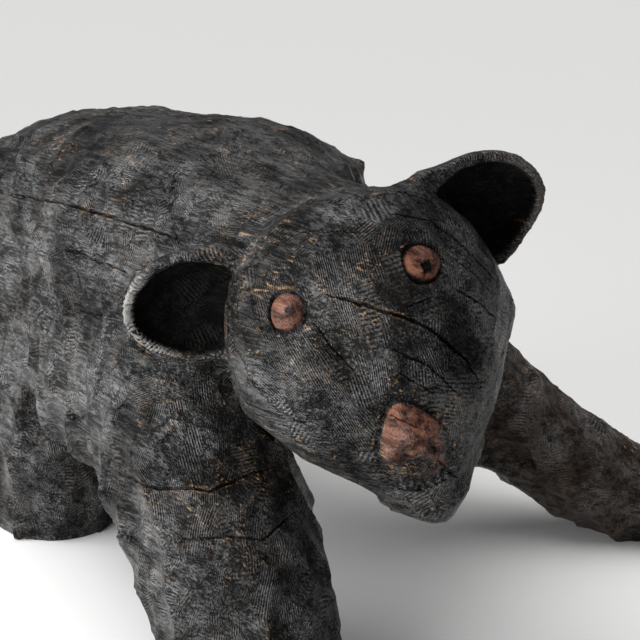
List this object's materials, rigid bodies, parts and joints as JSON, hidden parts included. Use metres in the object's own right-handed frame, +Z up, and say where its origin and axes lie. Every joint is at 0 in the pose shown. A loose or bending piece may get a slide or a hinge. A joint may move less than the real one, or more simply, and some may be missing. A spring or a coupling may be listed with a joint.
{
  "type": "chainsaw carved bear",
  "caption": "A life-size young bear carved from one log with a chainsaw and charred black, walking with its head low and turned to its right.",
  "frame": {"origin": "on the ground, under the middle of the bear's bounding box", "axes": "+Z up, the bear walks towards -Y, and its left side is +X"},
  "size_m": [0.8708, 1.2282, 0.6039],
  "materials": {
    "charred_wood": "satin"
  },
  "bodies": {
    "root": {"bear": "charred_wood"}
  },
  "joints": []
}
